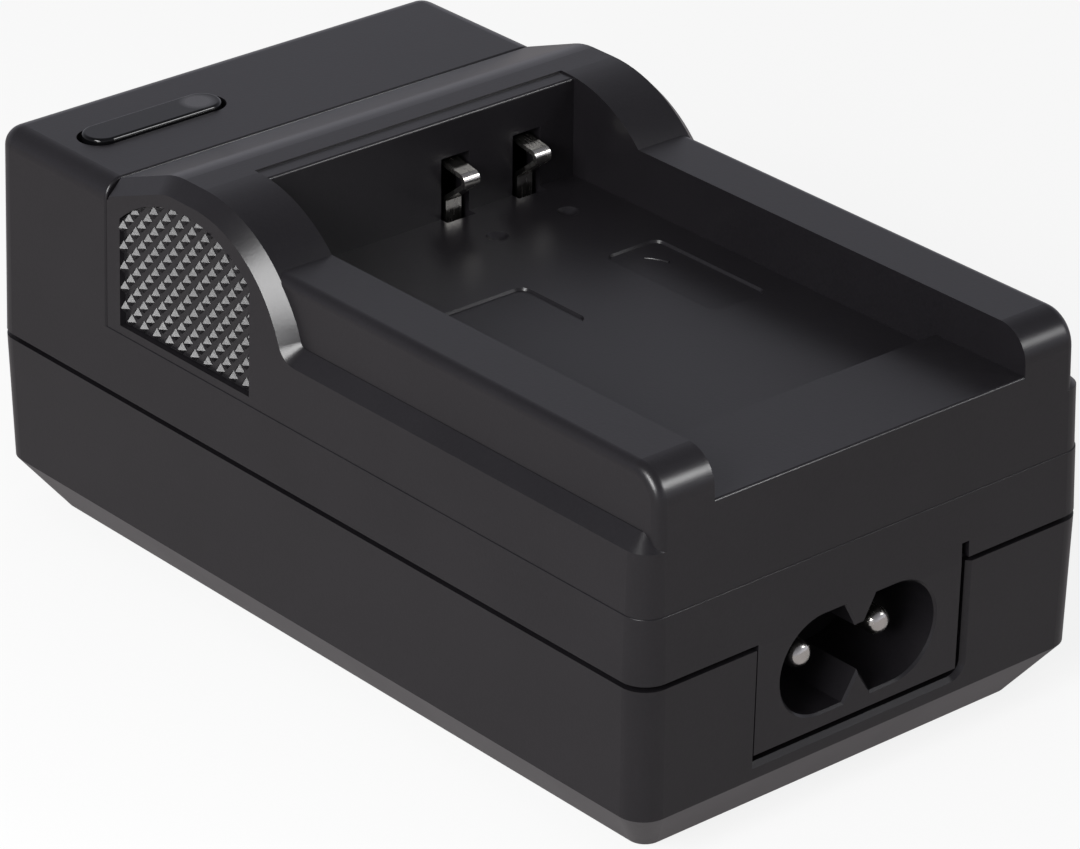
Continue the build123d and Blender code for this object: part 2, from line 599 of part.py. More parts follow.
def housing_screws():
    """Four screws that draw the two shells together from below."""
    size = (COUNTERBORE, SCREW_R, SCREW_LENGTH, SCREW_HEAD_R, SCREW_HEAD)
    return Compound(children=[screw(x, y, *size) for x, y in SCREWS])


def board_screws():
    """Four small screws that hold the board to its stand-offs."""
    size = (BOARD_Z, BOARD_SCREW_R, BOARD_SCREW_LENGTH, 1.9 * BOARD_SCREW_R, BOARD_SCREW_R)
    return Compound(children=[screw(x, y, *size) for x, y in STANDOFFS])


def circuit_board():
    """The board, with a tab between the rear posts that carries the indicator."""
    plate = span((-BOARD_HALF, BOARD_HALF), (BOARD_FRONT, BOARD_REAR), (BOARD_Z, BOARD_TOP))
    tab = SCREW_X - POST_R - BOARD_TAB_GAP
    plate += span((-tab, tab), (BOARD_REAR - 1, BOARD_TAB_REAR), (BOARD_Z, BOARD_TOP))
    for x, y in STANDOFFS:
        plate -= rod(x, y, (0, BOUND), BOARD_SCREW_R + FIT / 2)
    return plate


def can(x, y, radius, height):
    """An electrolytic capacitor that hangs from the board, with its crimped neck."""
    body = rod(x, y, (BOARD_Z - height, BOARD_Z), radius)
    body = chamfer(body.edges().sort_by(Axis.Z)[0], radius / 8)
    neck = rod(x, y, (BOARD_Z - radius / 2, BOARD_Z - radius / 4), 2 * radius)
    neck -= rod(x, y, (0, BOUND), radius * 0.92)
    return body - neck


def chip(x, y, size, lift, pins):
    """A moulded chip under the board, with a row of bent legs along each side."""
    width, length, height = size
    top = BOARD_Z - lift
    body = span((x - width / 2, x + width / 2), (y - length / 2, y + length / 2), (top - height, top))
    step = length / pins
    for row in range(pins):
        leg_y = y - length / 2 + (row + 0.5) * step
        leg = (leg_y - step / 6, leg_y + step / 6)
        body += span((x - width / 2 - lift, x + width / 2 + lift), leg, (top - height / 2, top - height / 4))
        for side in (-1, 1):
            outer = x + side * (width / 2 + lift)
            body += span(sorted((outer, outer - side * lift / 2)), leg, (top - height / 2, BOARD_Z))
    return body


def lying_rod(x, y, length, radius, end_radius):
    """A cylinder that lies along X under the board on two end caps."""
    z = BOARD_Z - end_radius
    barrel = Pos(x, y, z) * Rot(0, 90, 0) * Cylinder(radius, length)
    for side in (-1, 1):
        cap_x = x + side * length * 0.4
        barrel += Pos(cap_x, y, z) * Rot(0, 90, 0) * Cylinder(end_radius, length / 5)
        cap = (cap_x - length / 10, cap_x + length / 10)
        barrel += span(cap, (y - radius / 2, y + radius / 2), (z, BOARD_Z))
    return barrel


def transformer():
    """The transformer as its core, its bobbin and its winding."""
    x, y = TRANSFORMER
    leg, window, length = CORE_LEG / 2, CORE_WINDOW, BOBBIN_LENGTH / 2
    z = BOARD_Z - BOBBIN_HEIGHT / 2
    half = 2 * leg + window
    core = span((-half, half), (-length - leg, length + leg), (-leg, leg))
    for side in (-1, 1):
        core -= span(sorted((side * leg, side * (leg + window))), (-length, length), (-BOUND, BOUND))
    flange = (leg + window - FIT, BOBBIN_HEIGHT / 2)
    cheek = BOBBIN_WALL
    bobbin = Box(2 * (leg + cheek), 2 * length, 2 * (leg + cheek))
    for side in (-1, 1):
        sides = sorted((side * length, side * (length - cheek)))
        bobbin += span((-flange[0], flange[0]), sides, (-flange[1], flange[1]))
    bobbin -= Box(2 * leg, BOUND, 2 * leg)
    coil = Box(2 * (flange[0] - cheek), 2 * (length - cheek), 2 * (flange[1] - cheek))
    coil = fillet(coil.edges().filter_by(Axis.Y), 2 * cheek)
    coil -= Box(2 * (leg + cheek), BOUND, 2 * (leg + cheek))
    return [Pos(x, y, z) * piece for piece in (core, bobbin, coil)]


def line_choke():
    """A drum-shaped choke: two flanges and the wound waist between them."""
    x, y = CHOKE
    drum = rod(x, y, (BOARD_Z - CHOKE_HEIGHT, BOARD_Z), CHOKE_R)
    groove = rod(x, y, (BOARD_Z - CHOKE_HEIGHT + RIB, BOARD_Z - RIB), 2 * CHOKE_R)
    return drum - (groove - rod(x, y, (0, BOUND), CHOKE_R * 0.85))


def safety_capacitor():
    """A dipped disc capacitor that stands off the board on two legs."""
    x, y = DISC
    z = BOARD_Z - DISC_R - RIB
    disc = Pos(x, y, z) * Rot(90, 0, 0) * Cylinder(DISC_R, 2 * RIB)
    disc = chamfer(disc.edges().filter_by(GeomType.CIRCLE), RIB / 2)
    for side in (-1, 1):
        disc += rod(x + side * DISC_R / 2, y, (z, BOARD_Z), RIB / 4)
    return disc


def status_led():
    """The indicator lamp on top of the board, right under the lens's light guide."""
    base = rod(LED_X, LENS_Y, (BOARD_TOP, BOARD_TOP + LED_HEIGHT / 3), LED_R * 1.25)
    dome = rod(LED_X, LENS_Y, (BOARD_TOP, BOARD_TOP + LED_HEIGHT - FIT), LED_R)
    return base + fillet(dome.edges().sort_by(Axis.Z)[-1], LED_R * 0.8)


def board_resistors():
    """Small block resistors in a row along the board."""
    width, length, height = RESISTOR
    row = []
    for place in range(RESISTORS):
        y = BOARD_REAR - RESISTOR_FROM_REAR - place * RESISTOR_PITCH
        block = (y - length / 2, y + length / 2)
        row.append(span((-width / 2, width / 2), block, (BOARD_Z - height, BOARD_Z)))
    return Compound(children=row)


def main():
    """Build every piece and write one file each."""
    core, bobbin, winding = transformer()
    pad = grip_pad()
    middle = TRANSFORMER[1]
    pieces = {
        "lower_housing": lower_housing(),
        "upper_housing": upper_housing(),
        "battery_cradle": battery_cradle(),
        "indicator_lens": indicator_lens(),
        "grip_pad_left": mirror(pad, about=Plane.YZ),
        "grip_pad_right": pad,
        "inlet_pin_left": inlet_pin(PIN_X[0]),
        "inlet_pin_right": inlet_pin(PIN_X[1]),
        "contact_spring_left": contact_spring(CONTACT_X[0]),
        "contact_spring_right": contact_spring(CONTACT_X[1]),
        "contact_lead_left": contact_lead(CONTACT_X[0]),
        "contact_lead_right": contact_lead(CONTACT_X[1]),
        "housing_screws": housing_screws(),
        "board_screws": board_screws(),
        "circuit_board": circuit_board(),
        "transformer_core": core,
        "transformer_bobbin": bobbin,
        "transformer_winding": winding,
        "mains_capacitor": can(MAINS_CAN_INSET[0] - BOARD_HALF, BOARD_FRONT + MAINS_CAN_INSET[1],
                               *MAINS_CAN),
        "output_capacitor": can(BOARD_HALF - OUTPUT_CAN_INSET[0], BOARD_REAR - OUTPUT_CAN_INSET[1],
                                *OUTPUT_CAN),
        "bridge_rectifier": chip(-BRIDGE_PLACE[0], BOARD_FRONT + BRIDGE_PLACE[1], BRIDGE, LEG_LIFT, 2),
        "switching_chip": chip(SWITCHER_X, middle - SWITCHER_SHIFT, SWITCHER, LEG_LIFT, 4),
        "optocoupler": chip(COUPLER_X, middle + COUPLER_SHIFT, COUPLER, LEG_LIFT, 2),
        "charge_control_chip": chip(-CONTROLLER_PLACE[0], BOARD_REAR - CONTROLLER_PLACE[1], CONTROLLER,
                                    LEG_LIFT / 2, 7),
        "mains_fuse": lying_rod(BOARD_HALF - FUSE_INSET[0], BOARD_FRONT + FUSE_INSET[1], *FUSE),
        "output_diode": lying_rod(DIODE_PLACE[0], BOARD_REAR - DIODE_PLACE[1], *DIODE),
        "line_choke": line_choke(),
        "safety_capacitor": safety_capacitor(),
        "status_led": status_led(),
        "board_resistors": board_resistors(),
    }
    os.makedirs("parts", exist_ok=True)
    for name, piece in pieces.items():
        export_step(piece, f"parts/{name}.step")


main()
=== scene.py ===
"""Dress the camera battery charger: finishes, fine moulded details, studio light and camera."""

import json
import logging
import math
from dataclasses import dataclass
from enum import Enum
from typing import Union

import bpy
from mathutils import Matrix, Vector

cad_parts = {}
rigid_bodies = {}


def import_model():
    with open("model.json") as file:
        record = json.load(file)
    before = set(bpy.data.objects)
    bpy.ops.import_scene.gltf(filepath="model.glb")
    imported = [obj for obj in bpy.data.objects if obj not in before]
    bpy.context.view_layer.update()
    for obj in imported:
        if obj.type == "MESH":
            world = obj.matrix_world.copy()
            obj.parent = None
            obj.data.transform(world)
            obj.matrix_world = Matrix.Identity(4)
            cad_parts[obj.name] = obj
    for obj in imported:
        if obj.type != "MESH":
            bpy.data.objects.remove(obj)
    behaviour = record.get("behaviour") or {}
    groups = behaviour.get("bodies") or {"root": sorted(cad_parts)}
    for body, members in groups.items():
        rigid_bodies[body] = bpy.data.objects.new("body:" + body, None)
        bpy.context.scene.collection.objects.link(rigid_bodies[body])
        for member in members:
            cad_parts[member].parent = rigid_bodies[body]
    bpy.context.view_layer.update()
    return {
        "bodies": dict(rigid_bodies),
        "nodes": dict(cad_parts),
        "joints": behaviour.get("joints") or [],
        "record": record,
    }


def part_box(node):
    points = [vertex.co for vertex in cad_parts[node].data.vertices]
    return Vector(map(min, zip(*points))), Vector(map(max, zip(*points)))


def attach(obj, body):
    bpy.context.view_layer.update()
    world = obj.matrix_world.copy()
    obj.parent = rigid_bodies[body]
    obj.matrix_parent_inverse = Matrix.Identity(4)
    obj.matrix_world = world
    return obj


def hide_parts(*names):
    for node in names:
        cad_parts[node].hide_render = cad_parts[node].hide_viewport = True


LOG = logging.getLogger("charger")
MM = 0.001
CHARGER_BODY = "charger"
# Nearly all of a noise texture's values lie in this span.
NOISE_SPAN = (0.3, 0.7)
# What an area lamp's energy is for one unit of radiance from one square metre.
LAMP_ENERGY = 4.0
QUARTER_TURN = math.pi / 2
WHITE = (1.0, 1.0, 1.0, 1.0)

Colour = tuple[float, float, float]
Span = tuple[float, float]
Point = tuple[float, float, float]
Socket = bpy.types.NodeSocket
Material = bpy.types.Material
Feed = Union[Socket, float, int, bool, tuple]


class Side(Enum):
    """The two sides of the charger, as seen from the inlet."""

    LEFT = -1
    RIGHT = 1

    @property
    def word(self) -> str:
        """The side's name as it stands in the nodes' names."""
        return self.name.lower()


@dataclass(frozen=True)
class Wiring:
    """Adds nodes to one node tree and joins them.

    Attributes:
        tree: The shader, world or geometry tree that is wired.
    """

    tree: bpy.types.NodeTree

    def add(self, kind: str, **settings: object) -> bpy.types.Node:
        """Add a node.

        Args:
            kind: Blender's type name of the node.
            settings: Properties of the node, by name.

        Returns:
            The new node.
        """
        node = self.tree.nodes.new(kind)
        for name, value in settings.items():
            setattr(node, name, value)
        return node

    def feed(self, node: bpy.types.Node, socket: Union[str, int], value: Feed) -> None:
        """Link a socket to a node's input, or set the input to a plain value.

        Args:
            node: The node that takes the value.
            socket: The input's name or place.
            value: An output socket, or a plain value.
        """
        target = node.inputs[socket]
        if isinstance(value, Socket):
            self.tree.links.new(value, target)
        else:
            target.default_value = value

    def place(self, kind: str, feeds: dict[Union[str, int], Feed], **settings: object) -> bpy.types.Node:
        """Add a node and feed its inputs.

        Args:
            kind: Blender's type name of the node.
            feeds: Values or sockets, by input name or place.
            settings: Properties of the node, by name.

        Returns:
            The new node.
        """
        node = self.add(kind, **settings)
        for socket, value in feeds.items():
            self.feed(node, socket, value)
        return node

    def calc(self, operation: str, *values: Feed) -> Socket:
        """Add a Math node.

        Args:
            operation: The Math node's operation.
            values: Up to three values or sockets.

        Returns:
            The result's socket.
        """
        return self.place("ShaderNodeMath", dict(enumerate(values)), operation=operation).outputs[0]

    def span(self, value: Socket, to: Span, taken: Span = (0.0, 1.0)) -> Socket:
        """Map a value from one span to another, and keep it inside.

        Args:
            value: The value.
            to: Where the two ends go.
            taken: The two ends that the value is taken from.

        Returns:
            The mapped value.
        """
        ends = {"From Min": taken[0], "From Max": taken[1], "To Min": to[0], "To Max": to[1]}
        return self.place("ShaderNodeMapRange", {"Value": value, **ends}).outputs["Result"]

    def noise(self, place: Socket, scale: Socket, detail: float, roughness: float = 0.5) -> Socket:
        """Add a noise texture.

        Args:
            place: Where the texture is read.
            scale: How many of its cells lie along a metre.
            detail: How many finer layers it has.
            roughness: How strong the finer layers are.

        Returns:
            The texture's value.
        """
        feeds = {"Vector": place, "Scale": scale, "Detail": detail, "Roughness": roughness}
        return self.place("ShaderNodeTexNoise", feeds).outputs["Fac"]

    def blend(self, share: Socket, first: Colour, second: Colour) -> Socket:
        """Blend two colours.

        Args:
            share: How much of the second colour there is.
            first: The first colour.
            second: The second colour.

        Returns:
            The blended colour.
        """
        node = self.place("ShaderNodeMix", {"Factor": share}, data_type="RGBA")
        node.inputs["A"].default_value = (*first, 1.0)
        node.inputs["B"].default_value = (*second, 1.0)
        return node.outputs["Result"]

    def mix(self, share: Feed, first: Socket, second: Socket) -> Socket:
        """Mix two shaders.

        Args:
            share: How much of the second shader there is.
            first: The first shader.
            second: The second shader.

        Returns:
            The mixed shader.
        """
        return self.place("ShaderNodeMixShader", {0: share, 1: first, 2: second}).outputs[0]

    def by_ray(self, camera: Socket, mirror: Socket, other: Socket) -> Socket:
        """Choose a shader by the kind of ray that meets it.

        Args:
            camera: What the camera sees.
            mirror: What reflections and clear pieces show.
            other: What lights the scene.

        Returns:
            The chosen shader.
        """
        rays = self.add("ShaderNodeLightPath").outputs
        mirrored = self.calc("MAXIMUM", rays["Is Glossy Ray"], rays["Is Transmission Ray"])
        return self.mix(rays["Is Camera Ray"], self.mix(mirrored, other, mirror), camera)


def group_sockets(tree: bpy.types.NodeTree, inputs: dict[str, str], outputs: dict[str, str]) -> None:
    """Give a node group its named sockets.

    Args:
        tree: The group's tree.
        inputs: Socket types by input name.
        outputs: Socket types by output name.
    """
    for direction, sockets in (("INPUT", inputs), ("OUTPUT", outputs)):
        for name, kind in sockets.items():
            tree.interface.new_socket(name, in_out=direction, socket_type=kind)


def moulded_grain_group() -> bpy.types.ShaderNodeTree:
    """Build the effect of a spark-eroded mould on plastic.

    Returns:
        A group whose Shade varies the colour, whose Smudge varies the gloss and whose Height
        is the fine pitted grain.
    """
    tree = bpy.data.node_groups.new("moulded_grain", "ShaderNodeTree")
    floats = "NodeSocketFloat"
    group_sockets(tree, {"Grain": floats, "Patch": floats},
                  {"Shade": floats, "Smudge": floats, "Height": floats})
    wiring = Wiring(tree)
    given = wiring.add("NodeGroupInput").outputs
    place = wiring.add("ShaderNodeTexCoord").outputs["Object"]
    smudge_share, pit_share = 0.35, 0.4
    full = (0.0, 1.0)
    fine = wiring.noise(place, given["Grain"], detail=3.0, roughness=0.65)
    pits = wiring.place("ShaderNodeTexVoronoi", {"Vector": place, "Scale": given["Grain"]})
    broad = wiring.noise(place, given["Patch"], detail=4.0, roughness=0.55)
    speckle = wiring.span(fine, full, NOISE_SPAN)
    smudge = wiring.span(broad, full, NOISE_SPAN)
    speckled = wiring.calc("MULTIPLY", speckle, 1.0 - smudge_share)
    shade = wiring.calc("MULTIPLY_ADD", smudge, smudge_share, speckled)
    height = wiring.calc("MULTIPLY_ADD", pits.outputs["Distance"], pit_share, fine)
    wiring.place("NodeGroupOutput", {"Shade": shade, "Smudge": smudge, "Height": height})
    return tree


def brushed_metal_group() -> bpy.types.ShaderNodeTree:
    """Build the effect of drawn and plated metal.

    Returns:
        A group whose Streak follows the drawing direction and whose Tarnish lies in patches.
    """
    tree = bpy.data.node_groups.new("brushed_metal", "ShaderNodeTree")
    floats = "NodeSocketFloat"
    group_sockets(tree, {"Streaks": floats, "Patch": floats}, {"Streak": floats, "Tarnish": floats})
    wiring = Wiring(tree)
    given = wiring.add("NodeGroupInput").outputs
    place = wiring.add("ShaderNodeTexCoord").outputs["Object"]
    stretch = (1.0, 0.12, 0.12)
    drawn = wiring.place("ShaderNodeMapping", {"Vector": place, "Scale": stretch}).outputs["Vector"]
    streak = wiring.noise(drawn, given["Streaks"], detail=2.0)
    tarnish = wiring.noise(place, given["Patch"], detail=3.0)
    wiring.place("NodeGroupOutput", {"Streak": streak, "Tarnish": tarnish})
    return tree


@dataclass(frozen=True)
class Groups:
    """The shader effects that several finishes share.

    Attributes:
        grain: The moulded grain of plastic.
        metal: The streaks and tarnish of plated metal.
    """

    grain: bpy.types.ShaderNodeTree
    metal: bpy.types.ShaderNodeTree

    @classmethod
    def build(cls) -> "Groups":
        """Build every shared group once."""
        return cls(moulded_grain_group(), brushed_metal_group())


def new_finish(name: str) -> tuple[Material, Wiring, bpy.types.Node]:
    """Begin a material.

    Args:
        name: The material's name.

    Returns:
        The material, what wires it and its main shader.
    """
    material = bpy.data.materials.new(name)
    material.use_nodes = True
    return material, Wiring(material.node_tree), material.node_tree.nodes["Principled BSDF"]


@dataclass(frozen=True)
class Moulded:
    """Moulded plastic or resin with a fine grain.

    Attributes:
        name: The material's name.
        dark: Colour in the pits.
        light: Colour on the peaks.
        satin: Lowest and highest roughness.
        grain: Grains along a metre.
        patch: Grains across a smudge.
        relief: Strength of the grain's bump.
        depth: How deep the grain is, in metres.
        specular: Specular level.
    """

    name: str
    dark: Colour
    light: Colour
    satin: Span = (0.28, 0.32)
    grain: float = 3600.0
    patch: float = 40.0
    relief: float = 0.10
    depth: float = 0.00004
    specular: float = 0.5

    def build(self, groups: Groups) -> Material:
        """Make the material.

        Args:
            groups: The shared shader effects.

        Returns:
            The material.
        """
        material, wiring, shader = new_finish(self.name)
        feeds = {"Grain": self.grain, "Patch": self.grain / self.patch}
        effect = wiring.place("ShaderNodeGroup", feeds, node_tree=groups.grain).outputs
        pitted = {"Strength": self.relief, "Distance": self.depth, "Height": effect["Height"]}
        bump = wiring.place("ShaderNodeBump", pitted)
        wiring.feed(shader, "Base Color", wiring.blend(effect["Shade"], self.dark, self.light))
        wiring.feed(shader, "Roughness", wiring.span(effect["Smudge"], self.satin))
        wiring.feed(shader, "Normal", bump.outputs["Normal"])
        wiring.feed(shader, "Specular IOR Level", self.specular)
        return material


@dataclass(frozen=True)
class Plated:
    """Drawn metal with a plated surface.

    Attributes:
        name: The material's name.
        bright: Colour of the clean plate.
        dull: Colour where it has tarnished.
        gloss: Lowest and highest roughness.
        streaks: Streaks along a metre.
        patch: Streaks across a tarnished patch.
    """

    name: str
    bright: Colour
    dull: Colour
    gloss: Span = (0.14, 0.30)
    streaks: float = 5000.0
    patch: float = 8.0

    def build(self, groups: Groups) -> Material:
        """Make the material.

        Args:
            groups: The shared shader effects.

        Returns:
            The material.
        """
        material, wiring, shader = new_finish(self.name)
        feeds = {"Streaks": self.streaks, "Patch": self.streaks / self.patch}
        effect = wiring.place("ShaderNodeGroup", feeds, node_tree=groups.metal).outputs
        wiring.feed(shader, "Base Color", wiring.blend(effect["Tarnish"], self.bright, self.dull))
        wiring.feed(shader, "Roughness", wiring.span(effect["Streak"], self.gloss, NOISE_SPAN))
        wiring.feed(shader, "Metallic", 1.0)
        return material


@dataclass(frozen=True)
class Smoked:
    """Smooth dark plastic that is a little paler where light comes up through it.

    Attributes:
        name: The material's name.
        dark: Colour of the plastic.
        pale: Colour over the light guide.
        guide: The light guide's place, in metres.
        reach: How far the pale patch reaches, in metres.
        core: Share of the reach that is fully pale.
        gloss: Lowest and highest roughness.
        grain: Grains along a metre.
        smudges: Smudges along a metre.
        specular: Specular level.
    """

    name: str
    dark: Colour
    pale: Colour
    guide: Point
    reach: float
    core: float = 0.6
    gloss: Span = (0.05, 0.10)
    grain: float = 1800.0
    smudges: float = 260.0
    specular: float = 0.38

    def build(self, groups: Groups) -> Material:
        """Make the material.

        Args:
            groups: The shared shader effects.

        Returns:
            The material.
        """
        material, wiring, shader = new_finish(self.name)
        feeds = {"Grain": self.grain, "Patch": self.smudges}
        effect = wiring.place("ShaderNodeGroup", feeds, node_tree=groups.grain).outputs
        place = wiring.add("ShaderNodeTexCoord").outputs["Object"]
        away = wiring.place("ShaderNodeVectorMath", {0: place, 1: self.guide}, operation="DISTANCE")
        patch = wiring.span(away.outputs["Value"], (1.0, 0.0), (self.core * self.reach, self.reach))
        wiring.feed(shader, "Base Color", wiring.blend(patch, self.dark, self.pale))
        wiring.feed(shader, "Roughness", wiring.span(effect["Smudge"], self.gloss))
        wiring.feed(shader, "Specular IOR Level", self.specular)
        return material


def dress(frame: dict, node: str, material: Material) -> None:
    """Give a CAD node its finish.

    Args:
        frame: The loaded frame.
        node: The node's name.
        material: The finish.
    """
    mesh = frame["nodes"][node].data
    mesh.materials.clear()
    mesh.materials.append(material)
    LOG.info("dressed %s in %s", node, material.name)


def plain_mesh(obj: bpy.types.Object, name: str, place: Matrix) -> bpy.types.Object:
    """Turn an object with modifiers into a plain mesh piece at the origin.

    Args:
        obj: The object to evaluate. It is removed afterwards.
        name: The new piece's name.
        place: Where the mesh goes.

    Returns:
        The new piece, with its place in its mesh.
    """
    graph = bpy.context.evaluated_depsgraph_get()
    mesh = bpy.data.meshes.new_from_object(obj.evaluated_get(graph), depsgraph=graph)
    bpy.data.objects.remove(obj)
    mesh.name = name
    mesh.transform(place)
    if place.is_negative:
        mesh.flip_normals()
    piece = bpy.data.objects.new(name, mesh)
    bpy.context.scene.collection.objects.link(piece)
    return piece


@dataclass(frozen=True)
class Recipe:
    """A Geometry Nodes tree under construction, with its named inputs.

    Attributes:
        tree: The tree.
        wiring: What adds its nodes.
        given: The tree's input sockets, by name.
    """

    tree: bpy.types.GeometryNodeTree
    wiring: Wiring
    given: bpy.types.NodeOutputs

    @classmethod
    def start(cls, name: str, inputs: dict[str, str]) -> "Recipe":
        """Begin a tree.

        Args:
            name: The tree's name.
            inputs: Socket types by input name.

        Returns:
            The recipe, with no nodes but its input.
        """
        tree = bpy.data.node_groups.new(name, "GeometryNodeTree")
        tree.is_modifier = True
        group_sockets(tree, {**inputs, "Finish": "NodeSocketMaterial"}, {"Geometry": "NodeSocketGeometry"})
        wiring = Wiring(tree)
        return cls(tree, wiring, wiring.add("NodeGroupInput").outputs)

    def vector(self, x: Feed, y: Feed, z: Feed) -> Socket:
        """A vector from three values or sockets."""
        return self.wiring.place("ShaderNodeCombineXYZ", {"X": x, "Y": y, "Z": z}).outputs["Vector"]

    def move(self, shape: Socket, by: Feed, turn: Point = (0.0, 0.0, 0.0)) -> Socket:
        """Turn and move a shape.

        Args:
            shape: The geometry.
            by: How far it moves.
            turn: How far it turns about each axis.

        Returns:
            The moved geometry.
        """
        feeds = {"Geometry": shape, "Translation": by, "Rotation": turn}
        return self.wiring.place("GeometryNodeTransform", feeds).outputs["Geometry"]

    def join(self, *shapes: Socket) -> Socket:
        """Put shapes side by side in one geometry.

        Args:
            shapes: The geometries.

        Returns:
            The joined geometry.
        """
        node = self.wiring.add("GeometryNodeJoinGeometry")
        for shape in shapes:
            self.tree.links.new(shape, node.inputs["Geometry"])
        return node.outputs["Geometry"]

    def common(self, *shapes: Socket) -> Socket:
        """Keep what closed meshes have in common.

        Args:
            shapes: The meshes.

        Returns:
            The resulting mesh.
        """
        node = self.wiring.add("GeometryNodeMeshBoolean", operation="INTERSECT", solver="EXACT")
        for shape in shapes:
            self.tree.links.new(shape, node.inputs[1])
        return node.outputs["Mesh"]

    def end(self, shape: Socket) -> bpy.types.GeometryNodeTree:
        """Close the tree with real geometry in its finish.

        Args:
            shape: The finished geometry.

        Returns:
            The tree.
        """
        real = self.wiring.place("GeometryNodeRealizeInstances", {"Geometry": shape}).outputs["Geometry"]
        feeds = {"Geometry": real, "Material": self.given["Finish"]}
        done = self.wiring.place("GeometryNodeSetMaterial", feeds).outputs["Geometry"]
        self.wiring.place("NodeGroupOutput", {"Geometry": done})
        return self.tree


def grown(tree: bpy.types.GeometryNodeTree, values: dict[str, object], name: str,
          place: Matrix) -> bpy.types.Object:
    """Run a Geometry Nodes tree and keep its result as a plain mesh.

    Args:
        tree: The tree.
        values: The tree's inputs, by name.
        name: The piece's name.
        place: Where the mesh goes.

    Returns:
        The piece.
    """
    holder = bpy.data.objects.new(name + "_holder", bpy.data.meshes.new(name + "_holder"))
    bpy.context.scene.collection.objects.link(holder)
    modifier = holder.modifiers.new("shape", "NODES")
    modifier.node_group = tree
    for item in tree.interface.items_tree:
        if item.in_out == "INPUT":
            modifier[item.identifier] = values[item.name]
    return plain_mesh(holder, name, place)


@dataclass(frozen=True)
class Shells:
    """The two housing shells, their screws and the cradle between them.

    Attributes:
        housing: Finish of the shells and the cradle.
        screws: Finish of the screws.
    """

    housing: Material
    screws: Material

    def build(self, frame: dict) -> None:
        """Dress the shells, the cradle and the screws.

        Args:
            frame: The loaded frame.
        """
        for node in ("lower_housing", "upper_housing", "battery_cradle"):
            dress(frame, node, self.housing)
        for node in ("housing_screws", "board_screws"):
            dress(frame, node, self.screws)


